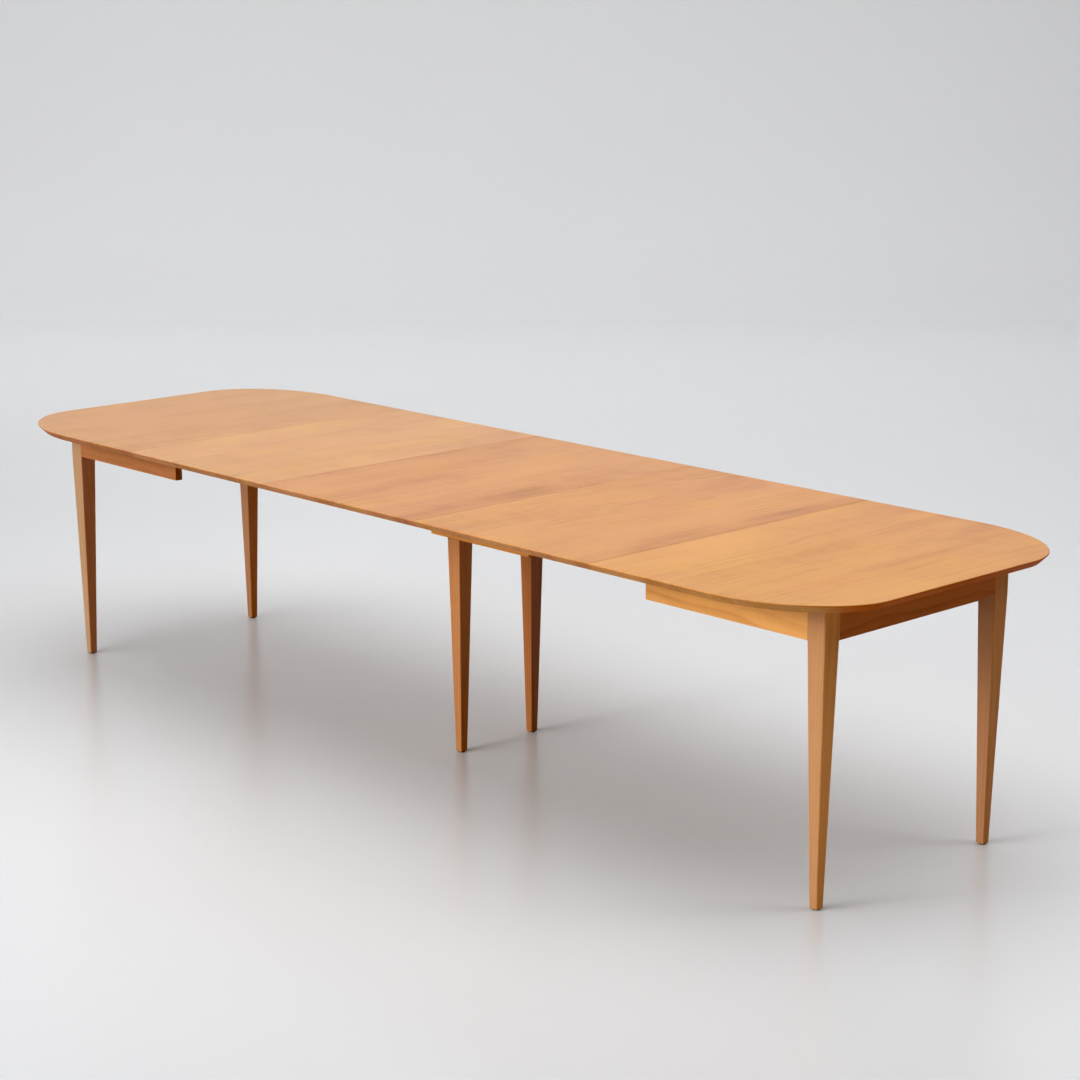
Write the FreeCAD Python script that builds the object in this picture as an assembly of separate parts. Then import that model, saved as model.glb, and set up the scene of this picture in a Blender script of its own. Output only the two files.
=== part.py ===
import FreeCAD, Part
import os
import math

# Oval-ended extension dining table, standing fully open with its three loose
# leaves laid in. Millimetres. +Z is up, +X runs along the length, the origin is
# on the floor under the middle of the top.
# Two end halves (top, three aprons, two legs each) are drawn apart on nested
# wooden slides; a small frame with two legs hangs from the middle slides.

V = FreeCAD.Vector

# ---- driving dimensions ------------------------------------------------------
TABLE_L = 3190.0          # length with all leaves in
TABLE_W = 994.0           # width of the top
TABLE_H = 730.0           # height of the top surface
TOP_T = 20.0              # thickness of the end tops
LEAF_T = 19.6             # leaves are a hair thinner, so they clear the slides
LEAF_L = 610.0            # one leaf, along the table
N_LEAVES = 3
SEAM_GAP = 0.6            # daylight in a closed seam
CORNER_RX = 330.0         # elliptical corner, along the length
CORNER_RY = 238.0         # elliptical corner, across the width
EDGE_R = 2.0              # rounded upper edge of the rim
BEVEL = 17.0              # 45 degree bevel under the rim, nearly the whole thickness
SEAM_EASE = 0.7           # small chamfer along both sides of a seam

LEG_S = 50.0              # square leg at the apron
FOOT_S = 22.0             # square leg at the floor
LEG_X = 1449.0            # corner leg centre, along the length
LEG_Y = 306.0             # corner leg centre, across the width
APRON_H = 90.0            # apron height
APRON_T = 22.0            # apron thickness
APRON_END = 935.0         # free end of the side aprons
CROSS_X = 1300.0          # cross rail of an end half
GLIDE_T = 3.0             # felt glide under each foot
GLIDE_R = 9.0

MID_X = 61.0              # the middle pair of legs stands off the centre
MID_S = 48.0              # square middle leg at its top
MID_FACE = 153.0          # outer face of the middle legs and rails
RAIL_X0 = -26.0           # middle frame, left end
RAIL_X1 = 350.0           # middle frame, right end
RAIL_Z0 = 588.5           # underside of the middle frame
RAIL_Z1 = 655.0           # its upper edge, under the slides
MID_LEG_TOP = 650.0

SLIDE_L = 1000.0          # every slide member
SLIDE_W = 24.0            # member thickness, across the table
LANE = 25.0               # pitch of the nested members
SLIDE_Z0 = 655.0
TONGUE_N = 4.5            # dovetail tongue: half height at the neck
TONGUE_H = 8.0            # half height at the head
TONGUE_D = 8.0            # projection beyond the member's face
SLIDE_CLR = 0.6           # clearance round the tongue
OVERTRAVEL = 50.0         # each half opens this much beyond the leaves

BATTEN_W = 42.0
BATTEN_H = 20.0
BATTEN_L = 520.0
BATTEN_Y = 208.0          # inner face of the leaf battens, just outside the slides

# ---- derived -----------------------------------------------------------------
UNDER = TABLE_H - TOP_T                       # underside of the end tops
LEAF_UNDER = TABLE_H - LEAF_T
SEAM = N_LEAVES * LEAF_L / 2.0                # outermost seam, 915
APRON_Z0 = UNDER - APRON_H
FACE_X = LEG_X + LEG_S / 2.0                  # outer face of the end apron
FACE_Y = LEG_Y + LEG_S / 2.0                  # outer face of the side aprons
SLIDE_ZM = (SLIDE_Z0 + UNDER) / 2.0
A_X, C_X = -SEAM, MID_X                       # member centres, fully laid out
B_X = (A_X + C_X) / 2.0
E_X = SEAM
D_X = (C_X + E_X) / 2.0
LANE0 = MID_FACE + 52.0                       # outer face of the outermost member

os.makedirs("parts", exist_ok=True)
NODES = {}


def add(name, shape):
    assert name not in NODES, name
    solids = shape.Solids
    assert len(solids) >= 1, name
    for s in solids:
        assert s.isValid() and s.Volume > 0, name
    NODES[name] = shape if len(solids) > 1 else solids[0]


def box(x0, x1, y0, y1, z0, z1):
    x0, x1 = min(x0, x1), max(x0, x1)
    y0, y1 = min(y0, y1), max(y0, y1)
    return Part.makeBox(x1 - x0, y1 - y0, z1 - z0, V(x0, y0, z0))


def group(shapes):
    return Part.makeCompound(shapes)


def mirror_x(s):
    return s.mirror(V(0, 0, 0), V(1, 0, 0))


def mirror_y(s):
    return s.mirror(V(0, 0, 0), V(0, 1, 0))


def cyl(r, h, p, d=V(0, 0, 1)):
    return Part.makeCylinder(r, h, p, d)


def soften(shape, r, pick):
    edges = [e for e in shape.Edges if pick(e)]
    return shape.makeFillet(r, edges) if edges else shape


def along(e, axis, tol=1e-6):
    a, b = e.Vertexes[0].Point, e.Vertexes[-1].Point
    d = b.sub(a)
    if d.Length < tol:
        return False
    c = [abs(d.x), abs(d.y), abs(d.z)]
    return c[axis] > 0.9999 * d.Length


# ---- the top -----------------------------------------------------------------
def top_outline(z):
    hx, hy, rx, ry = TABLE_L / 2, TABLE_W / 2, CORNER_RX, CORNER_RY

    def quarter(sx, sy):
        c = V(sx * (hx - rx), sy * (hy - ry), z)
        e = Part.Ellipse(c, rx, ry)
        a = {(1, 1): 0.0, (-1, 1): 0.5 * math.pi, (-1, -1): math.pi, (1, -1): 1.5 * math.pi}[(sx, sy)]
        return Part.Arc(e, a, a + 0.5 * math.pi).toShape()

    edges = [
        quarter(1, 1),
        Part.LineSegment(V(hx - rx, hy, z), V(-hx + rx, hy, z)).toShape(),
        quarter(-1, 1),
        Part.LineSegment(V(-hx, hy - ry, z), V(-hx, -hy + ry, z)).toShape(),
        quarter(-1, -1),
        Part.LineSegment(V(-hx + rx, -hy, z), V(hx - rx, -hy, z)).toShape(),
        quarter(1, -1),
        Part.LineSegment(V(hx, -hy + ry, z), V(hx, hy - ry, z)).toShape(),
    ]
    return Part.Wire(edges)


def whole_top():
    face = Part.Face(top_outline(UNDER))
    slab = face.extrude(V(0, 0, TOP_T))
    low = [e for e in slab.Edges if abs(e.BoundBox.ZMax - UNDER) < 1e-6]
    slab = slab.makeChamfer(BEVEL, low)
    up = [e for e in slab.Edges if abs(e.BoundBox.ZMin - TABLE_H) < 1e-4]
    return slab.makeFillet(EDGE_R, up)


def ease_seams(panel, xs):
    edges = []
    for e in panel.Edges:
        bb = e.BoundBox
        if any(abs(bb.XMin - x) < 1e-4 and abs(bb.XMax - x) < 1e-4 for x in xs):
            if abs(bb.ZMin - TABLE_H) < 1e-3 and bb.YMax - bb.YMin > 500:
                edges.append(e)
    return panel.makeChamfer(SEAM_EASE, edges)


SLAB = whole_top()
G = SEAM_GAP / 2.0


def panel(x0, x1, z0):
    cut = box(x0, x1, -TABLE_W, TABLE_W, z0, TABLE_H + 10)
    p = SLAB.common(cut)
    seams = [x for x in (x0, x1) if abs(x) < TABLE_L / 2 - 1]
    return ease_seams(p.Solids[0], seams)


# ---- legs --------------------------------------------------------------------
def rounded_square(cx, cy, s, r, z):
    h = s / 2.0
    k = r * (1 - math.sqrt(0.5))
    e = []
    corners = [(1, 1), (-1, 1), (-1, -1), (1, -1)]
    arcs = []
    for sx, sy in corners:
        a = V(cx + sx * h, cy + sy * (h - r), z)
        b = V(cx + sx * (h - r), cy + sy * h, z)
        m = V(cx + sx * (h - k), cy + sy * (h - k), z)
        if (sx, sy) in ((-1, 1), (1, -1)):
            a, b = b, a
        arcs.append((a, m, b))
    for i in range(4):
        a, m, b = arcs[i]
        e.append(Part.Arc(a, m, b).toShape())
        n = arcs[(i + 1) % 4][0]
        e.append(Part.LineSegment(b, n).toShape())
    return Part.Wire(e)


def taper(cx, cy, z1, s1):
    lo = rounded_square(cx, cy, FOOT_S, 2.0, GLIDE_T)
    hi = rounded_square(cx, cy, s1, 3.0, z1)
    return Part.makeLoft([lo, hi], True, True)


# diagonal bolt through the corner block into the leg's inner corner
BLOCK_OUT = LEG_X + LEG_Y - LEG_S + 7.0       # |x|+|y| of the block's outer plane
BLOCK_T = 22.0
BOLT_Z = 668.0
BOLT_R = 4.0


def diag_cyl(sx, sy, s0, s1, r, z):
    """cylinder along the corner's diagonal between |x|+|y| = s0 and s1"""
    d = V(sx, sy, 0).normalize()
    off = (LEG_X - LEG_Y)
    a0 = (s0 + off) / 2.0
    b0 = (s0 - off) / 2.0
    p = V(sx * a0, sy * b0, z)
    return cyl(r, (s1 - s0) / math.sqrt(2.0), p, d)


def diag_hex(sx, sy, s0, t, af, z):
    d = V(sx, sy, 0).normalize()
    off = (LEG_X - LEG_Y)
    c = V(sx * (s0 + off) / 2.0, sy * (s0 - off) / 2.0, z)
    u = V(-d.y, d.x, 0)
    w = V(0, 0, 1)
    rr = af / math.sqrt(3.0)
    pts = []
    for k in range(6):
        a = math.pi / 3.0 * k
        pts.append(c + u * (rr * math.cos(a)) + w * (rr * math.sin(a)))
    pts.append(pts[0])
    f = Part.Face(Part.makePolygon(pts))
    return f.extrude(d * (-t))


def corner_leg(sx, sy):
    cx, cy = sx * LEG_X, sy * LEG_Y
    h = LEG_S / 2.0
    low = taper(cx, cy, APRON_Z0, LEG_S)
    blk = box(cx - h, cx + h, cy - h, cy + h, APRON_Z0, UNDER)
    blk = soften(blk, 3.0, lambda e: along(e, 2) and abs(e.BoundBox.XMin - sx * FACE_X) < 1e-6
                 and abs(e.BoundBox.YMin - sy * FACE_Y) < 1e-6)
    # inner corner chamfered: the bolt's seat
    c = 12.0
    ix, iy = sx * (LEG_X - h), sy * (LEG_Y - h)
    tri = Part.Face(Part.makePolygon([V(ix, iy, APRON_Z0 + 12), V(ix + sx * c, iy, APRON_Z0 + 12),
                                      V(ix, iy + sy * c, APRON_Z0 + 12), V(ix, iy, APRON_Z0 + 12)]))
    blk = blk.cut(tri.extrude(V(0, 0, APRON_H)))
    leg = low.fuse(blk).removeSplitter()
    seat = LEG_X + LEG_Y - LEG_S + c
    leg = leg.cut(diag_cyl(sx, sy, seat - 20, seat + 34, BOLT_R, BOLT_Z))
    return leg.Solids[0]


def corner_block(sx, sy):
    ya, xa = FACE_Y - APRON_T, FACE_X - APRON_T
    k1 = BLOCK_OUT
    k0 = k1 - BLOCK_T * math.sqrt(2.0)
    pts = [V(sx * (k1 - ya), sy * ya, 0), V(sx * xa, sy * (k1 - xa), 0),
           V(sx * xa, sy * (k0 - xa), 0), V(sx * (k0 - ya), sy * ya, 0)]
    pts.append(pts[0])
    f = Part.Face(Part.makePolygon([p + V(0, 0, 640) for p in pts]))
    b = f.extrude(V(0, 0, 58))
    return b.cut(diag_cyl(sx, sy, k0 - 10, k1 + 10, BOLT_R + 0.5, BOLT_Z)).Solids[0]


def hanger_bolt(sx, sy):
    k0 = BLOCK_OUT - BLOCK_T * math.sqrt(2.0)
    seat = LEG_X + LEG_Y - LEG_S + 12.0
    rod = diag_cyl(sx, sy, k0 - 22, seat + 34, BOLT_R, BOLT_Z)
    washer = diag_cyl(sx, sy, k0 - 2.2, k0, 10.0, BOLT_Z).cut(diag_cyl(sx, sy, k0 - 20, k0 + 20, BOLT_R, BOLT_Z))
    nut = diag_hex(sx, sy, k0 - 2.2, 6.5, 13.0, BOLT_Z).cut(diag_cyl(sx, sy, k0 - 40, k0 + 20, BOLT_R, BOLT_Z))
    return [rod, washer, nut]


def screw_up(x, y, z_head, z_tip, r=2.0, head_r=4.2, head_h=2.6):
    """wood screw driven upwards: pan head under z_head, tip at z_tip"""
    shank = cyl(r, z_tip - z_head - 3.0, V(x, y, z_head))
    tip = Part.makeCone(r, 0.4, 3.0, V(x, y, z_tip - 3.0))
    head = cyl(head_r, head_h, V(x, y, z_head - head_h))
    head = soften(head, 1.2, lambda e: abs(e.BoundBox.ZMax - (z_head - head_h)) < 1e-6 and e.Length > 20)
    slot = box(x - head_r, x + head_r, y - 0.6, y + 0.6, z_head - head_h, z_head - head_h + 1.2)
    cross = box(x - 0.6, x + 0.6, y - head_r, y + head_r, z_head - head_h, z_head - head_h + 1.2)
    keep = cyl(2.6, 3.0, V(x, y, z_head - head_h))
    head = head.cut(slot.common(keep)).cut(cross.common(keep))
    return shank.fuse(tip).fuse(head).removeSplitter()


def screw_hole(x, y, z_head, z_tip, r=2.0):
    return cyl(r, z_tip - 3.0 - z_head, V(x, y, z_head)).fuse(Part.makeCone(r, 0.4, 3.0, V(x, y, z_tip - 3.0)))


# ---- slides ------------------------------------------------------------------
def dovetail(x0, x1, yface, sy, grow):
    """dovetail bar standing out of the plane y = yface towards sy"""
    n, h, d = TONGUE_N + grow, TONGUE_H + grow, TONGUE_D + grow
    y0, y1 = yface, yface + sy * d
    zm = SLIDE_ZM
    pts = [V(x0, y0, zm - n), V(x0, y0, zm + n), V(x0, y1, zm + h), V(x0, y1, zm - h), V(x0, y0, zm - n)]
    return Part.Face(Part.makePolygon(pts)).extrude(V(x1 - x0, 0, 0))


def slide(lane, xc, z1, tongue=None, groove=None):
    """one member of the front pack (negative y); lane 0 is outermost.
    tongue / groove: list of (side, x0, x1), side -1 faces outwards."""
    yo = -LANE0 + lane * LANE
    yi = yo + SLIDE_W
    b = box(xc - SLIDE_L / 2, xc + SLIDE_L / 2, yo, yi, SLIDE_Z0, z1)
    b = soften(b, 1.5, lambda e: along(e, 0) and abs(e.BoundBox.ZMin - SLIDE_Z0) < 1e-6)
    for side, x0, x1 in groove or []:
        f = yo if side < 0 else yi
        # the neighbour's tongue reaches in across the gap between the members
        gap = LANE - SLIDE_W
        g = dovetail(x0, x1, f + side * gap, -side, SLIDE_CLR)
        b = b.cut(g)
    for side, x0, x1 in tongue or []:
        f = yo if side < 0 else yi
        b = b.fuse(dovetail(x0, x1, f, side, 0.0))
    b = b.removeSplitter()
    return b.Solids[0]


STOP = 25.0               # closed end of each groove
HALF = OVERTRAVEL / 2.0
L2 = SLIDE_L / 2.0
Z_FIX = UNDER             # members screwed to the end tops
Z_FREE = UNDER - 1.5      # members that run under the leaves

a_in = A_X + L2
b_in = B_X + L2
d_in = D_X - L2
e_in = E_X - L2

slide_a = slide(0, A_X, Z_FIX, groove=[(1, A_X - L2 - 1, a_in - STOP)])
slide_b = slide(1, B_X, Z_FREE, tongue=[(-1, B_X - L2, a_in - STOP - HALF - 1.0)],
                groove=[(1, B_X - L2 - 1, b_in - STOP)])
slide_c = slide(2, C_X, Z_FREE, tongue=[(-1, C_X - L2, b_in - STOP - HALF - 1.0),
                                        (1, d_in + STOP + HALF + 1.0, C_X + L2)])
slide_d = slide(3, D_X, Z_FREE, groove=[(-1, d_in + STOP, D_X + L2 + 1)],
                tongue=[(1, e_in + STOP + HALF + 1.0, D_X + L2)])
slide_e = slide(4, E_X, Z_FIX, groove=[(-1, e_in + STOP, E_X + L2 + 1)])


def lane_y(lane):
    return -LANE0 + lane * LANE + SLIDE_W / 2.0


# screws that hold the outer and inner members up to the end tops: deep counterbore,
# then the shank; the bore is off the dovetail groove's mouth
def slide_fix(s, lane, xs, side):
    y = lane_y(lane) + (-side) * 5.5
    screws, holes = [], []
    for x in xs:
        head_z = SLIDE_Z0 + 14.0
        tip = UNDER + 13.0
        s = s.cut(cyl(4.8, 14.0, V(x, y, SLIDE_Z0))).cut(cyl(2.2, 60.0, V(x, y, SLIDE_Z0)))
        screws.append(screw_up(x, y, head_z, tip, r=2.2, head_r=4.4))
        holes.append(screw_hole(x, y, head_z, tip, r=2.2))
    return s.Solids[0], screws, holes


A_SCREW_X = [-1385.0, -1240.0, -1095.0, -950.0]
E_SCREW_X = [1385.0, 1240.0, 1095.0, 950.0]
slide_a, a_screws, a_holes = slide_fix(slide_a, 0, A_SCREW_X, 1)
slide_e, e_screws, e_holes = slide_fix(slide_e, 4, E_SCREW_X, -1)

# ---- end halves --------------------------------------------------------------
CLEAT = 22.0
CLEAT_X0, CLEAT_X1 = 985.0, 1330.0
TENON = 10.0


def end_half(sx, name, slide_screws, slide_holes):
    xin = APRON_END
    xleg = LEG_X - LEG_S / 2.0
    yi = FACE_Y - APRON_T
    # top
    if sx > 0:
        top = panel(SEAM + G, TABLE_L, UNDER - 1)
    else:
        top = panel(-TABLE_L, -SEAM - G, UNDER - 1)
    cleat_screws, holes = [], []
    for sy in (-1, 1):
        for xx in (1020.0, 1157.0, 1295.0):
            x, y = sx * xx, sy * (yi - CLEAT / 2.0)
            cleat_screws.append((x, y))
    hole = [screw_hole(x, y, UNDER - CLEAT, UNDER + 13.0) for x, y in cleat_screws]
    for h in hole + slide_holes:
        top = top.cut(h)
    add(name + "_end_top", top)
    screws = [screw_up(x, y, UNDER - CLEAT, UNDER + 13.0) for x, y in cleat_screws] + slide_screws
    add(name + "_top_screws", group(screws))
    # aprons
    end = box(sx * (FACE_X - APRON_T), sx * FACE_X, -(LEG_Y - LEG_S / 2), LEG_Y - LEG_S / 2, APRON_Z0, UNDER)
    end = soften(end, 1.5, lambda e: along(e, 1) and abs(e.BoundBox.ZMax - APRON_Z0) < 1e-6)
    add(name + "_end_apron", end)
    for sy, side in ((-1, "front"), (1, "back")):
        a = box(sx * xin, sx * xleg, sy * yi, sy * FACE_Y, APRON_Z0, UNDER)
        a = soften(a, 1.5, lambda e: (along(e, 0) and abs(e.BoundBox.ZMax - APRON_Z0) < 1e-6)
                   or (along(e, 2) and abs(e.BoundBox.XMin - sx * xin) < 1e-6
                       and abs(e.BoundBox.YMin - sy * FACE_Y) < 1e-6))
        mort = box(sx * CROSS_X - 11, sx * CROSS_X + 11, sy * yi, sy * (yi + TENON), 624.0, 651.0)
        a = a.cut(mort).Solids[0]
        add("%s_%s_apron" % (name, side), a)
        add("%s_%s_leg" % (name, side), corner_leg(sx, sy))
        add("%s_%s_corner_block" % (name, side), corner_block(sx, sy))
        c = box(sx * CLEAT_X0, sx * CLEAT_X1, sy * (yi - CLEAT), sy * yi, UNDER - CLEAT, UNDER)
        c = soften(c, 1.5, lambda e: along(e, 0) and abs(e.BoundBox.ZMax - (UNDER - CLEAT)) < 1e-6
                   and abs(e.BoundBox.YMin - sy * (yi - CLEAT)) < 1e-6)
        for x, y in cleat_screws:
            if (y > 0) == (sy > 0):
                c = c.cut(cyl(2.0, 60, V(x, y, UNDER - CLEAT - 5)))
        add("%s_%s_cleat" % (name, side), c.Solids[0])
    # cross rail, tenoned into both side aprons, passing under the slides
    r = box(sx * CROSS_X - 11, sx * CROSS_X + 11, -(yi + TENON), yi + TENON, 624.0, 651.0)
    add(name + "_cross_rail", r)
    bolts = []
    for sy in (-1, 1):
        bolts += hanger_bolt(sx, sy)
    add(name + "_hanger_bolts", group(bolts))
    gl = []
    for sy in (-1, 1):
        g = cyl(GLIDE_R, GLIDE_T, V(sx * LEG_X, sy * LEG_Y, 0))
        gl.append(g)
    add(name + "_foot_glides", group(gl))


end_half(-1, "left", a_screws + [mirror_y(s) for s in a_screws], a_holes + [mirror_y(s) for s in a_holes])
end_half(1, "right", e_screws + [mirror_y(s) for s in e_screws], e_holes + [mirror_y(s) for s in e_holes])

# ---- leaves ------------------------------------------------------------------
for i, name in enumerate(("left_leaf", "middle_leaf", "right_leaf")):
    x0 = -SEAM + i * LEAF_L
    x1 = x0 + LEAF_L
    xm = (x0 + x1) / 2.0
    p = panel(x0 + G, x1 - G, LEAF_UNDER)
    pts = [(xm + dx, sy * (BATTEN_Y + BATTEN_W / 2)) for sy in (-1, 1) for dx in (-210.0, 0.0, 210.0)]
    for x, y in pts:
        p = p.cut(screw_hole(x, y, LEAF_UNDER - BATTEN_H, LEAF_UNDER + 13.0))
    add(name + "_panel", p.Solids[0])
    for sy, side in ((-1, "front"), (1, "back")):
        b = box(xm - BATTEN_L / 2, xm + BATTEN_L / 2, sy * BATTEN_Y, sy * (BATTEN_Y + BATTEN_W),
                LEAF_UNDER - BATTEN_H, LEAF_UNDER)
        b = soften(b, 5.0, lambda e: along(e, 0) and abs(e.BoundBox.ZMax - (LEAF_UNDER - BATTEN_H)) < 1e-6)
        for x, y in pts:
            if (y > 0) == (sy > 0):
                b = b.cut(cyl(2.0, 60, V(x, y, LEAF_UNDER - BATTEN_H - 5)))
        add("%s_%s_batten" % (name, side), b.Solids[0])
    add(name + "_screws", group([screw_up(x, y, LEAF_UNDER - BATTEN_H, LEAF_UNDER + 13.0) for x, y in pts]))

# ---- middle frame ------------------------------------------------------------
MR_T = 22.0
H2 = MID_S / 2.0
MID_Y = MID_FACE - H2
mid_bolt_x = (MID_X - 12.0, MID_X + 12.0)
mid_bolt_z = (606.0, 634.0)
mid_bolts, mid_screws, glides = [], [], []
for sy, side in ((-1, "front"), (1, "back")):
    f0, f1 = sy * MID_FACE, sy * (MID_FACE - MR_T)
    rail = box(RAIL_X0, RAIL_X1, f0, f1, RAIL_Z0, RAIL_Z1)
    rail = soften(rail, 2.0, lambda e: along(e, 0) and abs(e.BoundBox.ZMax - RAIL_Z0) < 1e-6)
    leg = taper(MID_X, sy * MID_Y, RAIL_Z0, MID_S)
    blk = box(MID_X - H2, MID_X + H2, sy * (MID_FACE - MR_T), sy * (MID_FACE - MID_S), RAIL_Z0, MID_LEG_TOP)
    leg = leg.fuse(blk).removeSplitter()
    # two carriage bolts hold each leg against its rail
    for k in range(2):
        x, z = mid_bolt_x[k], mid_bolt_z[k]
        d = V(0, -sy, 0)
        hole = cyl(3.0, MID_S + 20, V(x, sy * (MID_FACE + 10), z), d)
        rail = rail.cut(hole)
        leg = leg.cut(hole)
        rod = cyl(3.0, MID_S + 12.0, V(x, sy * MID_FACE, z), d)
        head = Part.makeSphere(12.0, V(x, sy * (MID_FACE - 12.0 + 3.0), z)).common(
            cyl(9.0, 10.0, V(x, sy * (MID_FACE + 10.0), z), d))
        washer = cyl(8.0, 1.6, V(x, sy * (MID_FACE - MID_S), z), d).cut(hole)
        pts = []
        for j in range(7):
            a = math.pi / 3.0 * j
            pts.append(V(x + 10.0 / math.sqrt(3.0) * math.cos(a), sy * (MID_FACE - MID_S - 1.6),
                         z + 10.0 / math.sqrt(3.0) * math.sin(a)))
        nut = Part.Face(Part.makePolygon(pts)).extrude(V(0, -sy * 5.0, 0)).cut(
            cyl(3.0, 60, V(x, sy * MID_FACE, z), d))
        mid_bolts += [rod.fuse(head).removeSplitter(), washer, nut]
    # screws up through the rail into the middle slide member
    c_holes = []
    for x in (20.0, 170.0, 320.0):
        y = sy * (MID_FACE - MR_T / 2.0)
        rail = rail.cut(cyl(4.8, 36.0, V(x, y, RAIL_Z0 - 1))).cut(cyl(2.2, 90.0, V(x, y, RAIL_Z0)))
        mid_screws.append(screw_up(x, y, RAIL_Z0 + 35.0, SLIDE_Z0 + 22.0, r=2.2, head_r=4.4))
        c_holes.append(screw_hole(x, y, SLIDE_Z0 - 5, SLIDE_Z0 + 22.0, r=2.2))
    c = slide_c if sy < 0 else mirror_y(slide_c)
    for h in c_holes:
        c = c.cut(h)
    add(side + "_slide_c", c.Solids[0])
    add("middle_%s_rail" % side, rail.Solids[0])
    add("middle_%s_leg" % side, leg.Solids[0])
    glides.append(cyl(GLIDE_R, GLIDE_T, V(MID_X, sy * MID_Y, 0)))
for x0, side in ((RAIL_X0, "left"), (RAIL_X1 - MR_T, "right")):
    yr = MID_FACE - MR_T
    r = box(x0, x0 + MR_T, -yr, yr, RAIL_Z0, MID_LEG_TOP)
    r = soften(r, 2.0, lambda e: along(e, 1) and abs(e.BoundBox.ZMax - RAIL_Z0) < 1e-6)
    add("middle_%s_cross_rail" % side, r)
add("middle_leg_bolts", group(mid_bolts))
add("middle_slide_screws", group(mid_screws))
add("middle_foot_glides", group(glides))

for lane, s in (("a", slide_a), ("b", slide_b), ("d", slide_d), ("e", slide_e)):
    add("front_slide_" + lane, s)
    add("back_slide_" + lane, mirror_y(s).Solids[0])

# ---- write -------------------------------------------------------------------
for name in sorted(NODES):
    NODES[name].exportStep("parts/%s.step" % name)
bb = Part.makeCompound(list(NODES.values())).BoundBox
print("nodes", len(NODES))
print("box", round(bb.XMin, 2), round(bb.XMax, 2), round(bb.YMin, 2), round(bb.YMax, 2), round(bb.ZMin, 2), round(bb.ZMax, 2))
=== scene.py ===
import bmesh
import bpy
import math
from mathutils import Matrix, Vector

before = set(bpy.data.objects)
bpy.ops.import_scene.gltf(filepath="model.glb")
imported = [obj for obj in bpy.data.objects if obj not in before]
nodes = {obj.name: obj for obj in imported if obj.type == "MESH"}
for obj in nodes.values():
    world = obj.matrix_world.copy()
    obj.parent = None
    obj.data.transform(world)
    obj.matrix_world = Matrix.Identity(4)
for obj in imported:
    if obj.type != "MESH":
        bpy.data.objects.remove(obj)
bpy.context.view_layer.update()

scene = bpy.context.scene


# ------------------------------------------------------------------ helpers
def lin(r, g, b):
    """sRGB 0-255 to linear"""
    out = []
    for c in (r, g, b):
        c = c / 255.0
        out.append(c / 12.92 if c <= 0.04045 else ((c + 0.055) / 1.055) ** 2.4)
    return (out[0], out[1], out[2], 1.0)


def mul(c, k):
    if isinstance(k, (int, float)):
        k = (k, k, k)
    return (c[0] * k[0], c[1] * k[1], c[2] * k[2], 1.0)


class Tree:
    """a short way to write shader node trees"""

    def __init__(self, mat):
        mat.use_nodes = True
        self.t = mat.node_tree
        self.t.nodes.clear()

    def add(self, kind, **kw):
        n = self.t.nodes.new(kind)
        for k, v in kw.items():
            setattr(n, k, v)
        return n

    def link(self, a, b):
        self.t.links.new(a, b)

    def math(self, op, a, b=None, c=None):
        n = self.add("ShaderNodeMath", operation=op)
        for i, v in enumerate((a, b, c)):
            if v is None:
                continue
            if isinstance(v, (int, float)):
                n.inputs[i].default_value = v
            else:
                self.link(v, n.inputs[i])
        return n.outputs[0]

    def maprange(self, v, a, b, c, d, smooth=False):
        n = self.add("ShaderNodeMapRange")
        n.interpolation_type = "SMOOTHSTEP" if smooth else "LINEAR"
        n.clamp = True
        self.link(v, n.inputs["Value"])
        for k, x in (("From Min", a), ("From Max", b), ("To Min", c), ("To Max", d)):
            n.inputs[k].default_value = x
        return n.outputs["Result"]

    def scale(self, vec, s, off=(0, 0, 0)):
        n = self.add("ShaderNodeMapping")
        n.vector_type = "POINT"
        n.inputs["Scale"].default_value = s
        n.inputs["Location"].default_value = off
        self.link(vec, n.inputs["Vector"])
        return n.outputs[0]

    def noise(self, vec, s=(1, 1, 1), off=(0, 0, 0), detail=4.0, rough=0.5, dist=0.0):
        n = self.add("ShaderNodeTexNoise")
        n.noise_dimensions = "3D"
        self.link(self.scale(vec, s, off), n.inputs["Vector"])
        n.inputs["Scale"].default_value = 1.0
        n.inputs["Detail"].default_value = detail
        n.inputs["Roughness"].default_value = rough
        n.inputs["Lacunarity"].default_value = 2.0
        n.inputs["Distortion"].default_value = dist
        return n.outputs["Fac"]

    def mix(self, fac, a, b, blend="MIX"):
        n = self.add("ShaderNodeMix", data_type="RGBA", blend_type=blend)
        n.clamp_result = False
        if isinstance(fac, (int, float)):
            n.inputs[0].default_value = fac
        else:
            self.link(fac, n.inputs[0])
        for sock, v in ((n.inputs[6], a), (n.inputs[7], b)):
            if isinstance(v, (tuple, list)):
                sock.default_value = v
            else:
                self.link(v, sock)
        return n.outputs[2]

    def xyz(self, vec):
        n = self.add("ShaderNodeSeparateXYZ")
        self.link(vec, n.inputs[0])
        return n.outputs

    def combine(self, x, y, z):
        n = self.add("ShaderNodeCombineXYZ")
        for s, v in zip(n.inputs, (x, y, z)):
            if isinstance(v, (int, float)):
                s.default_value = v
            else:
                self.link(v, s)
        return n.outputs[0]

    def vadd(self, a, b):
        n = self.add("ShaderNodeVectorMath", operation="ADD")
        for s, v in zip(n.inputs, (a, b)):
            if isinstance(v, (tuple, list)):
                s.default_value = v
            else:
                self.link(v, s)
        return n.outputs[0]

    def ramp(self, fac, stops):
        n = self.add("ShaderNodeValToRGB")
        el = n.color_ramp.elements
        while len(el) < len(stops):
            el.new(0.5)
        for e, (p, c) in zip(el, stops):
            e.position = p
            e.color = c
        self.link(fac, n.inputs[0])
        return n.outputs[0]


GRAIN = {"x": (0, 1, 2), "y": (1, 2, 0), "z": (2, 0, 1)}


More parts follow.
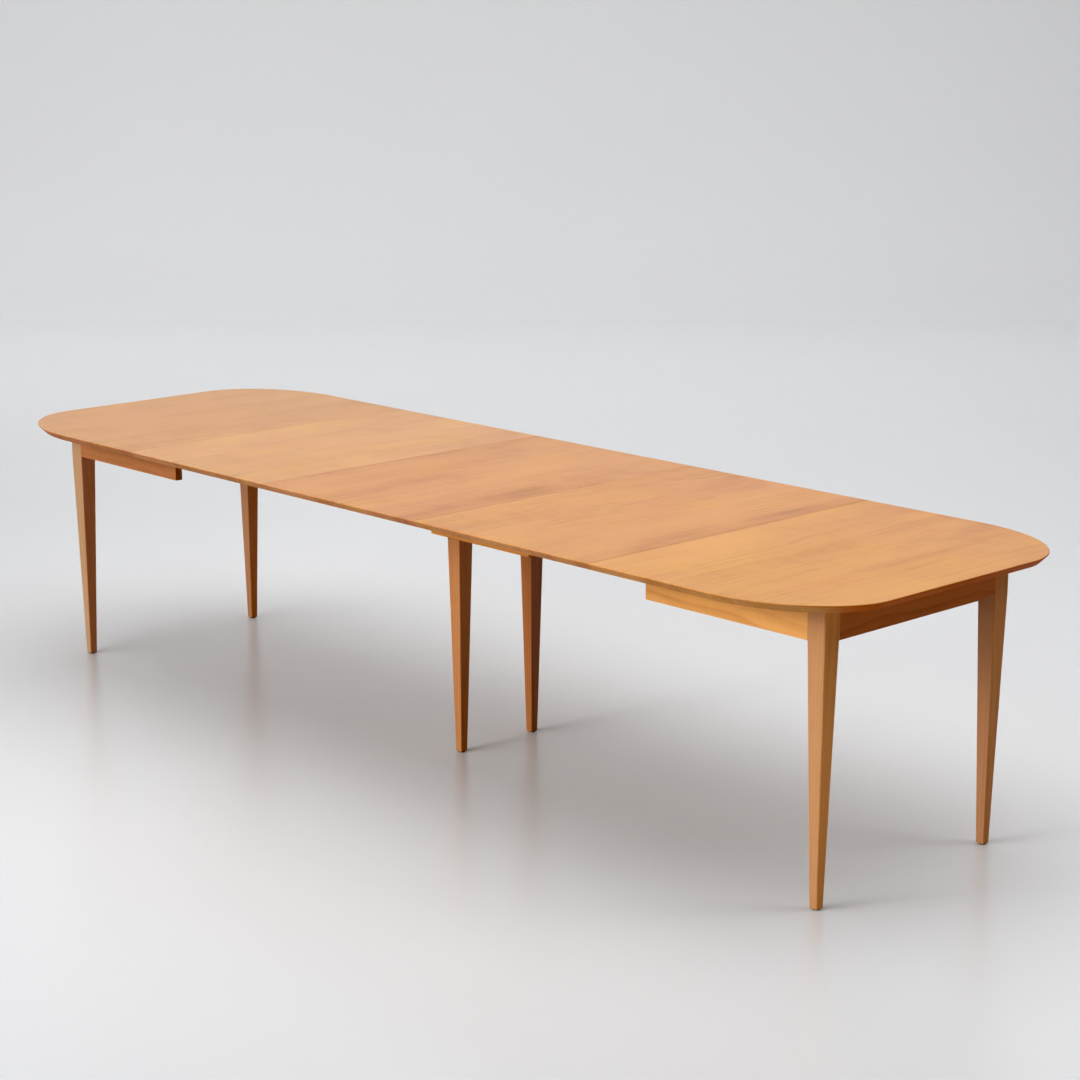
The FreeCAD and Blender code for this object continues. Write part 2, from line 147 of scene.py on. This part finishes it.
def wood(name, axis, base, seed=(0, 0, 0), ring=0.020, wave=1.0, flame=0.12, streak=0.5, mottle=0.5, fibre=0.4,
         pore=0.35, rough=0.42, spec=0.32, streaks=(), sheets=None, endgrain=0.5, rim=(0.70, 0.97), bump=1.0,
         blotch=0.0, tint=0.0, grain=1.0, strand=(6.0, 190.0, 4.0), side=None,
         satin=(0.12, 0.10)):
    """Wood with its grain along one axis of the part.
    base: linear colour; ring: distance of the growth rings where they meet the face, in metres;
    streaks: darker or lighter strips (x0, x1, softness, amount, tint, y0, y1); sheets: veneer sheets
    (start, width); rim: how far a face has to turn towards the grain to count as end grain;
    blotch, tint: cloudy patches some 10 to 40 cm across, in lightness and in hue; grain: how fine
    the pores are; strand: how long and how fine the streaks of the fibres are; side: painted shade,
    a tint for the faces that look along the table, for the dimmer, warmer light that reaches them;
    satin: how far the gloss varies with the fibres and in patches"""
    m = bpy.data.materials.new(name)
    t = Tree(m)
    tc = t.add("ShaderNodeTexCoord")
    geo = t.add("ShaderNodeNewGeometry")
    p = t.xyz(tc.outputs["Object"])
    a, b, c = GRAIN[axis]
    # u runs along the grain, v and w across it
    uvw = t.combine(p[a], p[b], p[c])
    q = t.scale(uvw, (1, 1, 1), seed)
    tone = None
    if sheets:
        # every sheet of veneer has its own figure and a slightly different tone
        k = t.math("FLOOR", t.math("DIVIDE", t.math("SUBTRACT", p[0], sheets[0]), sheets[1]))
        wn = t.add("ShaderNodeTexWhiteNoise", noise_dimensions="3D")
        t.link(t.combine(k, seed[0] * 3.1, seed[1] * 1.7), wn.inputs["Vector"])
        r = t.xyz(wn.outputs["Color"])
        q = t.vadd(q, t.combine(t.math("MULTIPLY", r[0], 7.0), 0.0, t.math("MULTIPLY", r[1], 5.0)))
        tone = r[2]
    s = t.xyz(q)

    # slow wander of the grain, so that the figure opens into long flames
    n1 = t.noise(q, (1.3, 3.2, 3.2), detail=2.0)
    n2 = t.noise(q, (4.0, 11.0, 11.0), (5, 2, 7), detail=2.0)
    d = t.math("MULTIPLY_ADD", s[2], 0.45, s[1])
    if axis == "y":
        d = t.math("MULTIPLY_ADD", s[1], 0.45, s[2])
    d = t.math("MULTIPLY_ADD", t.math("SUBTRACT", n1, 0.5), 0.20 * wave, d)
    d = t.math("MULTIPLY_ADD", t.math("SUBTRACT", n2, 0.5), 0.022 * wave, d)
    ph = t.math("DIVIDE", d, ring)
    saw = t.math("FRACT", ph)
    rings = t.math("MAXIMUM", t.maprange(saw, 0.30, 0.97, 0.0, 1.0, smooth=True),
                   t.maprange(saw, 0.0, 0.08, 1.0, 0.0, smooth=True))
    # every ring a little different
    rn = t.add("ShaderNodeTexWhiteNoise", noise_dimensions="1D")
    t.link(t.math("FLOOR", t.math("ADD", ph, 0.03)), rn.inputs["W"])
    rings = t.math("MULTIPLY", rings, t.maprange(rn.outputs["Value"], 0.0, 1.0, 0.35, 1.3))
    fib = t.noise(q, (16.0, 1100.0, 1100.0), detail=2.0, rough=0.6)
    fib2 = t.noise(q, (strand[0], strand[1], strand[1]), (3, 3, 3), detail=strand[2], rough=0.55)
    fib3 = t.noise(q, (11.0, 430.0, 430.0), (1, 5, 2), detail=1.0)
    band = t.noise(q, (0.8, 13.0, 13.0), (7, 1, 3), detail=3.0, rough=0.55)
    cloud = t.noise(q, (5.0, 12.0, 12.0), (2, 8, 5), detail=3.0, rough=0.55, dist=0.4)
    patchy = t.noise(q, (2.2, 5.0, 5.0), (3, 9, 1), detail=3.0, rough=0.6, dist=0.5)
    hue = t.noise(q, (4.2, 6.5, 6.5), (9, 2, 6), detail=3.0, rough=0.6, dist=0.4)
    curl = t.noise(q, (38.0, 9.0, 9.0), (6, 4, 9), detail=2.0)

    f = t.math("MULTIPLY_ADD", rings, flame, 0.42 - 0.4 * flame)
    for src, amt in ((band, streak), (cloud, mottle), (curl, mottle * 0.45), (patchy, blotch), (fib2, fibre),
                     (fib3, fibre * 0.25), (fib, fibre * 0.5)):
        f = t.math("MULTIPLY_ADD", t.math("SUBTRACT", src, 0.5), amt, f)
    if tone is not None:
        f = t.math("MULTIPLY_ADD", t.math("SUBTRACT", tone, 0.5), 0.10, f)
    light = mul(base, (1.10, 1.13, 1.18))
    dark = mul(base, (0.70, 0.60, 0.50))
    col = t.ramp(f, [(0.0, light), (0.42, base), (1.0, dark)])

    # short dark pores along the grain
    pr = t.noise(q, (60.0 * grain, 1700.0 * grain, 1700.0 * grain), (4, 6, 1), detail=1.0)
    patch = t.noise(q, (3.0, 45.0, 45.0), (8, 8, 2), detail=2.0)
    pm = t.math("MULTIPLY", t.maprange(pr, 0.64, 0.74, 0.0, 1.0, smooth=True),
                t.maprange(patch, 0.38, 0.62, 0.15, 1.0))
    pm = t.math("MULTIPLY", pm, pore)
    col = t.mix(pm, col, mul(base, (0.40, 0.30, 0.22)))

    if tint:
        # some patches more golden, some more pink
        k = t.math("MULTIPLY", t.maprange(hue, 0.50, 0.68, 0.0, 1.0, smooth=True), tint)
        col = t.mix(k, col, t.mix(1.0, col, (1.03, 1.06, 0.86, 1.0), "MULTIPLY"))
        k = t.math("MULTIPLY", t.maprange(hue, 0.34, 0.50, 1.0, 0.0, smooth=True), tint)
        col = t.mix(k, col, t.mix(1.0, col, (0.98, 0.93, 1.00, 1.0), "MULTIPLY"))
    for x0, x1, soft, amt, shade, y0, y1 in streaks:
        wob = t.math("MULTIPLY_ADD", t.math("SUBTRACT", n2, 0.5), 0.05, p[0])
        wob = t.math("MULTIPLY_ADD", t.math("SUBTRACT", n1, 0.5), 0.06, wob)
        lo = t.maprange(wob, x0 - soft, x0 + soft, 0.0, 1.0, smooth=True)
        hi = t.maprange(wob, x1 - soft, x1 + soft, 1.0, 0.0, smooth=True)
        k = t.math("MULTIPLY", t.math("MULTIPLY", lo, hi), amt)
        k = t.math("MULTIPLY", k, t.maprange(cloud, 0.3, 0.7, 0.45, 1.2))
        k = t.math("MULTIPLY", k, t.maprange(patchy, 0.35, 0.65, 0.55, 1.15))
        k = t.math("MULTIPLY", k, t.maprange(p[1], y0 - 0.10, y0 + 0.10, 0.0, 1.0, smooth=True))
        k = t.math("MULTIPLY", k, t.maprange(p[1], y1 - 0.10, y1 + 0.10, 1.0, 0.0, smooth=True))
        col = t.mix(k, col, t.mix(1.0, col, shade, "MULTIPLY"))

    # end grain drinks more of the finish and is darker
    nrm = t.xyz(geo.outputs["Normal"])
    e = t.maprange(t.math("ABSOLUTE", nrm[a]), rim[0], rim[1], 0.0, 1.0, smooth=True)
    k = t.math("MULTIPLY", e, t.maprange(band, 0.35, 0.65, 0.8 * endgrain, 1.15 * endgrain))
    col = t.mix(k, col, t.mix(1.0, col, (0.62, 0.52, 0.44, 1.0), "MULTIPLY"))

    # painted shade: faces that look along the table (towards ±X) get the tint of the dimmer, warmer light that reaches
    # them
    if side:
        k = t.maprange(t.math("ABSOLUTE", nrm[0]), 0.40, 0.66, 0.0, 1.0, smooth=True)
        k = t.math("MULTIPLY", k, t.maprange(cloud, 0.3, 0.7, 0.85, 1.0))
        col = t.mix(k, col, t.mix(1.0, col, (side[0], side[1], side[2], 1.0), "MULTIPLY"))

    bs = t.add("ShaderNodeBsdfPrincipled")
    t.link(col, bs.inputs["Base Color"])
    bs.inputs["IOR"].default_value = 1.5
    bs.inputs["Specular IOR Level"].default_value = spec
    r = t.math("MULTIPLY_ADD", t.math("SUBTRACT", patchy, 0.5), satin[1], rough)
    if satin[0]:
        r = t.math("MULTIPLY_ADD", t.math("SUBTRACT", fib2, 0.5), satin[0], r)
    r = t.math("MULTIPLY_ADD", e, 0.22, r)
    t.link(r, bs.inputs["Roughness"])
    # relief of fibres and pores, well below a tenth of a millimetre
    h = t.math("MULTIPLY_ADD", pm, -1.6, t.math("MULTIPLY", fib, 0.5))
    bp = t.add("ShaderNodeBump")
    bp.inputs["Strength"].default_value = 0.20 * bump
    bp.inputs["Distance"].default_value = 0.00010
    t.link(h, bp.inputs["Height"])
    t.link(bp.outputs[0], bs.inputs["Normal"])
    out = t.add("ShaderNodeOutputMaterial")
    t.link(bs.outputs[0], out.inputs["Surface"])
    return m


def paint(node, mat, edge=None):
    """edge: a second material, for every face that doesn't look up"""
    o = nodes[node]
    o.data.materials.clear()
    o.data.materials.append(mat)
    if edge is not None:
        o.data.materials.append(edge)
    for poly in o.data.polygons:
        poly.material_index = 1 if edge is not None and poly.normal.z < 0.5 else 0


# ------------------------------------------------------------------ camera
cam = bpy.data.cameras.new("camera")
cam.sensor_fit = "HORIZONTAL"
cam.sensor_width = 36.0
cam.lens = 80.98
cam.clip_end = 200.0
cam.dof.use_dof = False
cam_o = bpy.data.objects.new("camera", cam)
scene.collection.objects.link(cam_o)
cam_o.location = (4.7238, -4.2501, 2.0252)
cam_o.rotation_euler = (math.radians(76.933), 0.0, math.radians(46.595))
scene.camera = cam_o

# ------------------------------------------------------------------ woods
TOP = lin(181, 126, 76)
DARK = (0.84, 0.77, 0.72, 1.0)
GOLD = (1.08, 1.11, 0.94, 1.0)
# a darker, pinker tint, used as painted shade at the back of the right end
PINK_FAR_SHADE = (0.94, 0.90, 1.03, 1.0)
WARM = (1.06, 1.08, 1.00, 1.0)
# a greyer tint, used as painted shade towards the back of the top
FAR_SHADE = (0.955, 0.965, 1.05, 1.0)
FAR = 0.6
tops = {
    # colour, seed, veneer sheets, streaks
    "left_end_top": ((0.945, 1.080, 1.240), (0.3, 4.1, 0.2), (-1.595, 0.2267),
                     [(-0.990, -0.935, 0.020, 0.55, DARK, 0.10, FAR)]),
    "left_leaf_panel": ((0.970, 1.130, 1.320), (2.7, 1.3, 0.9), (-0.915, 0.2033),
                        [(-0.420, -0.340, 0.025, 0.45, GOLD, -FAR, -0.05)]),
    "middle_leaf_panel": ((0.928, 0.980, 1.045), (5.1, 7.7, 3.1), (-0.305, 0.2033),
                          [(-0.340, -0.240, 0.024, 0.55, DARK, -FAR, FAR),
                           (0.215, 0.340, 0.028, 0.75, DARK, -FAR, 0.22)]),
    "right_leaf_panel": ((0.930, 0.972, 0.985), (1.9, 9.2, 6.3), (0.305, 0.2033),
                         [(0.325, 0.470, 0.030, 0.75, GOLD, -0.30, 0.20), (0.540, 0.640, 0.035, 0.45, DARK, -0.05, 0.20),
                          (0.740, 0.825, 0.025, 0.60, GOLD, -0.10, 0.40), (0.850, 0.930, 0.018, 1.0, DARK, -FAR, FAR)]),
    # the back of the right end is darker and pinker as painted shade
    "right_end_top": ((0.960, 1.022, 0.880), (8.4, 2.6, 4.4), (0.915, 0.2350),
                      [(0.905, 0.930, 0.014, 0.55, DARK, -0.30, FAR), (0.950, 1.010, 0.020, 0.45, GOLD, -0.30, 0.15),
                       (1.370, 1.400, 0.014, 0.40, DARK, -0.10, 0.40), (0.80, 1.70, 0.05, 0.75, PINK_FAR_SHADE, 0.26, FAR),
                       (0.80, 1.70, 0.05, 0.90, WARM, -FAR, -0.12)]),
}
for n, (shade, seed, sheets, streaks) in tops.items():
    # painted shade: all boards a shade greyer towards the back
    streaks = streaks + [(-1.70, 1.70, 0.05, 0.8, FAR_SHADE, 0.16, FAR)]
    look = dict(seed=seed, sheets=sheets, streaks=streaks, ring=0.024, flame=0.11, streak=0.56, mottle=0.62,
                fibre=0.60, strand=(3.2, 90.0, 1.5), blotch=0.42, tint=0.8, pore=0.14, grain=1.6)
    face = wood("top_" + n, "y", mul(TOP, shade), rough=0.30, spec=0.5, bump=0.4, endgrain=0.0, satin=(0.0, 0.05),
                **look)
    # the sides and the underside have the same boards, with less polish; on the two end tops the faces that look along
    # the table also get a deep red-brown painted shade
    rim_tone = {"left_end_top": (1.12, 1.06, 1.50), "left_leaf_panel": (1.14, 1.18, 1.55)}.get(n, (1.25, 1.42, 2.1))
    edge = wood("edge_" + n, "y", mul(mul(TOP, shade), rim_tone), rough=0.62, spec=0.12, bump=1.0,
                endgrain=0.6, rim=(0.35, 0.62), side=(0.70, 0.34, 0.18) if "end" in n else None, **look)
    paint(n, face, edge)

LEG = lin(180, 128, 83)
APRON = lin(194, 134, 72)
# pieces cut from redder, darker or paler boards, with painted light and shade in some of them: the right front
# apron lighter for the light it misses under the top's overhang, the right end apron darker and redder as painted
# shade on the end that faces away from the light, and the back legs, the middle back leg most, darker in part as
# painted shade under the table
BOARD_TONE_AND_SHADE = {
    "right_front_apron": (1.22, 1.44, 1.85), "left_front_apron": (0.77, 0.745, 1.06),
    "right_end_apron": (0.82, 0.61, 0.60), "middle_front_leg": (0.93, 0.92, 0.95), "middle_back_leg": (0.86, 0.75, 0.72),
    "left_back_leg": (0.85, 0.91, 1.15), "left_front_leg": (0.88, 1.13, 1.52), "right_front_leg": (0.98, 1.10, 1.28),
    "right_back_leg": (0.86, 0.93, 1.18),
}
# painted shade on the legs: each leg's faces that look along the table get their own tint, for the dimmer, warmer light
# there
SIDE_SHADE = {
    "right_front_leg": (1.40, 1.16, 0.74), "right_back_leg": (1.20, 1.02, 0.64), "left_front_leg": (1.22, 0.86, 0.80),
    "left_back_leg": (1.00, 0.74, 0.52), "middle_front_leg": (1.08, 1.00, 1.10), "middle_back_leg": (0.86, 0.92, 1.40),
}
k = 0
for n in sorted(nodes):
    k += 1
    sd = ((k * 1.713) % 9.0, (k * 2.337) % 7.0, (k * 0.917) % 5.0)
    if n.endswith("_leg"):
        paint(n, wood("wood_" + n, "z", mul(LEG, BOARD_TONE_AND_SHADE.get(n, 1.0)), seed=sd, ring=0.010, wave=0.22, flame=0.22,
                      streak=0.75, mottle=0.35, side=SIDE_SHADE[n]))
    elif n.endswith("_apron") or n in ("middle_front_rail", "middle_back_rail", "middle_left_cross_rail",
                                       "middle_right_cross_rail"):
        ax = "y" if ("end_apron" in n or "cross" in n) else "x"
        ends = [(0.80, 1.22, 0.12, 1.0, (0.86, 0.84, 0.82, 1.0), -FAR, FAR)] if n == "right_front_apron" else ()
        paint(n, wood("wood_" + n, ax, mul(APRON, BOARD_TONE_AND_SHADE.get(n, 1.0)), seed=sd, ring=0.014, wave=0.35, flame=0.24,
                      streak=0.70, mottle=0.40, streaks=ends))
    elif "_slide_" in n and not n.endswith("screws"):
        paint(n, wood("wood_" + n, "x", lin(208, 172, 126), seed=sd, ring=0.009, wave=0.3, flame=0.14, rough=0.45,
                      pore=0.5))
    elif n.endswith(("_cleat", "_batten", "_corner_block")) or n in ("left_cross_rail", "right_cross_rail"):
        ax = "y" if n.endswith("cross_rail") else ("z" if n.endswith("block") else "x")
        paint(n, wood("wood_" + n, ax, lin(196, 152, 106), seed=sd, ring=0.010, wave=0.4, flame=0.2, rough=0.6,
                      bump=1.8))


def metal(name, col, rough):
    m = bpy.data.materials.new(name)
    t = Tree(m)
    tc = t.add("ShaderNodeTexCoord")
    n1 = t.noise(tc.outputs["Object"], (900, 900, 900), detail=3.0, rough=0.6)
    n2 = t.noise(tc.outputs["Object"], (90, 90, 90), detail=3.0, rough=0.6)
    c = t.mix(t.maprange(n2, 0.3, 0.7, 0.0, 1.0), col, mul(col, (0.72, 0.70, 0.64)))
    bs = t.add("ShaderNodeBsdfPrincipled")
    t.link(c, bs.inputs["Base Color"])
    bs.inputs["Metallic"].default_value = 1.0
    t.link(t.math("MULTIPLY_ADD", n1, 0.18, rough), bs.inputs["Roughness"])
    bp = t.add("ShaderNodeBump")
    bp.inputs["Strength"].default_value = 0.15
    bp.inputs["Distance"].default_value = 0.0001
    t.link(n1, bp.inputs["Height"])
    t.link(bp.outputs[0], bs.inputs["Normal"])
    out = t.add("ShaderNodeOutputMaterial")
    t.link(bs.outputs[0], out.inputs["Surface"])
    return m


def felt(name):
    m = bpy.data.materials.new(name)
    t = Tree(m)
    tc = t.add("ShaderNodeTexCoord")
    n1 = t.noise(tc.outputs["Object"], (1400, 1400, 1400), rough=0.7)
    n2 = t.noise(tc.outputs["Object"], (200, 200, 200), detail=3.0, rough=0.6)
    c = t.ramp(t.math("MULTIPLY_ADD", n1, 0.7, t.math("MULTIPLY", n2, 0.3)),
               [(0.3, lin(52, 38, 28)), (0.7, lin(104, 82, 64))])
    bs = t.add("ShaderNodeBsdfPrincipled")
    t.link(c, bs.inputs["Base Color"])
    bs.inputs["Roughness"].default_value = 0.95
    bs.inputs["Sheen Weight"].default_value = 0.4
    bs.inputs["Sheen Roughness"].default_value = 0.5
    bp = t.add("ShaderNodeBump")
    bp.inputs["Strength"].default_value = 0.6
    bp.inputs["Distance"].default_value = 0.0004
    t.link(n1, bp.inputs["Height"])
    t.link(bp.outputs[0], bs.inputs["Normal"])
    out = t.add("ShaderNodeOutputMaterial")
    t.link(bs.outputs[0], out.inputs["Surface"])
    return m


STEEL = metal("zinc_steel", (0.60, 0.58, 0.52, 1), 0.28)
FELT = felt("felt")
for n in nodes:
    if n.endswith(("screws", "bolts")):
        paint(n, STEEL)
    elif n.endswith("glides"):
        paint(n, FELT)


# ------------------------------------------------------------------ stage
def stage_mesh():
    """a pale floor that curves up into a wall far behind the table"""
    yaw = math.radians(46.595)
    fwd = Vector((-math.sin(yaw), math.cos(yaw), 0.0))
    right = Vector((math.cos(yaw), math.sin(yaw), 0.0))
    centre = Vector((4.7238, -4.2501, 0.0))
    S, R = 14.5, 4.2
    prof = [(-60.0, 0.0), (S - 0.3, 0.0), (S, 0.0)]
    for i in range(1, 41):
        a = math.radians(90.0 * i / 40)
        prof.append((S + R * math.sin(a), R - R * math.cos(a)))
    prof.append((S + R, 30.0))
    half = 60.0
    verts, faces = [], []
    for s, z in prof:
        for h in (-half, half):
            q = centre + fwd * s + right * h
            verts.append((q.x, q.y, z))
    for i in range(len(prof) - 1):
        faces.append((2 * i, 2 * i + 1, 2 * i + 3, 2 * i + 2))
    me = bpy.data.meshes.new("backdrop")
    me.from_pydata(verts, [], faces)
    for poly in me.polygons:
        poly.use_smooth = True
    o = bpy.data.objects.new("backdrop", me)
    scene.collection.objects.link(o)
    return o


floor = stage_mesh()
fm = bpy.data.materials.new("studio_floor")
t = Tree(fm)
tc = t.add("ShaderNodeTexCoord")
n1 = t.noise(tc.outputs["Object"], (0.9, 0.9, 0.9), rough=0.55)
n2 = t.noise(tc.outputs["Object"], (2.5, 2.5, 2.5), rough=0.5)
fc = t.ramp(n1, [(0.25, (0.545, 0.548, 0.556, 1)), (0.75, (0.551, 0.554, 0.562, 1))])
bs = t.add("ShaderNodeBsdfPrincipled")
t.link(fc, bs.inputs["Base Color"])
t.link(t.maprange(n2, 0.0, 1.0, 0.245, 0.255), bs.inputs["Roughness"])
bs.inputs["Specular IOR Level"].default_value = 0.5
# one-sided, so that it doesn't hide the table from below
under = t.add("ShaderNodeMixShader")
t.link(t.add("ShaderNodeNewGeometry").outputs["Backfacing"], under.inputs[0])
t.link(bs.outputs[0], under.inputs[1])
t.link(t.add("ShaderNodeBsdfTransparent").outputs[0], under.inputs[2])
out = t.add("ShaderNodeOutputMaterial")
t.link(under.outputs[0], out.inputs["Surface"])
floor.data.materials.append(fm)


# ------------------------------------------------------------------ light
def area(name, loc, target, sx, sy, power, spread=180.0, col=(1, 1, 1)):
    l = bpy.data.lights.new(name, "AREA")
    l.shape = "RECTANGLE"
    l.size, l.size_y = sx, sy
    l.energy = power
    l.color = col
    l.spread = math.radians(spread)
    o = bpy.data.objects.new(name, l)
    o.location = loc
    d = Vector(target) - Vector(loc)
    o.rotation_euler = d.to_track_quat("-Z", "Y").to_euler()
    o.visible_camera = False
    scene.collection.objects.link(o)
    return o


LIGHTS = {
    # softboxes over the table, a large one in front of its long side, a small key that draws the
    # leg shadows, a little light from behind, and washes for the far floor and backdrop
    "over": ((0.3, 0.05, 4.5), (0.3, 0.05, 0.0), 5.4, 2.2, 26),
    "over_low": ((0.3, 0.05, 3.2), (0.3, 0.05, 0.0), 4.6, 3.0, 67),
    "over_high": ((0.3, 0.05, 5.5), (0.3, 0.05, 0.0), 6.5, 6.0, 96),
    "front": ((-1.0, -5.5, 3.3), (0.2, 0.0, 0.4), 3.2, 2.4, 31, 120.0),
    "key": ((-0.45, -4.1, 1.9), (0.4, 0.0, 0.6), 0.7, 0.7, 7.4, 80.0),
    "back": ((1.5, 5.0, 3.5), (1.5, 3.5, 0.0), 3.0, 2.0, 8.4, 120.0),
    "back_right": ((4.0, 2.5, 4.0), (2.0, 1.2, 0.0), 2.0, 2.0, 25.5, 120.0),
    "far": ((-5.5, 5.2, 5.0), (-6.5, 6.2, 0.0), 9.0, 4.0, 103),
    "far_near": ((-3.6, 3.6, 5.5), (-4.6, 4.6, 0.0), 9.0, 2.0, 122),
    "far_left": ((-8.5, 1.0, 5.0), (-9.5, 2.5, 0.0), 5.0, 4.0, 104),
    "far_right": ((-1.5, 8.0, 5.0), (-3.0, 9.5, 0.0), 5.0, 4.0, 47),
}
for n, v in LIGHTS.items():
    # no glare of the nearest ones on the polished top or the floor
    area(n, *v).visible_glossy = n not in ("front", "key", "over_low")

# a large pale wall of the studio in front of the table gives the soft light on its long side
world = bpy.data.worlds.new("studio")
scene.world = world
w = Tree(world)
wt = w.add("ShaderNodeTexCoord")
glow = None
for axis, power, amount in (((-0.35, -1.0, 0.15), 6.0, 5.12), ((-0.35, -1.0, 0.75), 6.0, 0.08), ((0, 0, 1), 1.5, 0.50)):
    dot = w.add("ShaderNodeVectorMath", operation="DOT_PRODUCT")
    w.link(wt.outputs["Generated"], dot.inputs[0])
    dot.inputs[1].default_value = Vector(axis).normalized()
    lobe = w.math("MULTIPLY", w.math("POWER", w.math("MAXIMUM", dot.outputs["Value"], 0.0), power), amount)
    glow = lobe if glow is None else w.math("ADD", glow, lobe)
bg = w.add("ShaderNodeBackground")
bg.inputs[0].default_value = (1.0, 1.0, 1.0, 1)
w.link(glow, bg.inputs[1])
wo = w.add("ShaderNodeOutputWorld")
w.link(bg.outputs[0], wo.inputs[0])
# it lights the table, but polished faces don't mirror it as a glare
world.cycles_visibility.glossy = False


def surroundings():
    """plain pale surroundings, for what is seen or mirrored on the open sides of the studio"""
    me = bpy.data.meshes.new("surroundings")
    bm = bmesh.new()
    bmesh.ops.create_uvsphere(bm, u_segments=48, v_segments=24, radius=110.0)
    bm.to_mesh(me)
    bm.free()
    m = bpy.data.materials.new("surroundings")
    t = Tree(m)
    e = t.add("ShaderNodeEmission")
    e.inputs["Color"].default_value = (1.0, 1.0, 1.015, 1.0)
    e.inputs["Strength"].default_value = 0.42
    out = t.add("ShaderNodeOutputMaterial")
    t.link(e.outputs[0], out.inputs["Surface"])
    m.cycles.emission_sampling = "NONE"
    me.materials.append(m)
    o = bpy.data.objects.new("surroundings", me)
    scene.collection.objects.link(o)
    o.visible_diffuse = False
    o.visible_shadow = False


surroundings()

scene.view_settings.view_transform = "Standard"
scene.view_settings.look = "None"
scene.view_settings.exposure = 0.0
scene.view_settings.gamma = 0.87
scene.view_settings.use_curve_mapping = True
scene.view_settings.curve_mapping.black_level = (0.03, 0.03, 0.03)
scene.view_settings.curve_mapping.update()
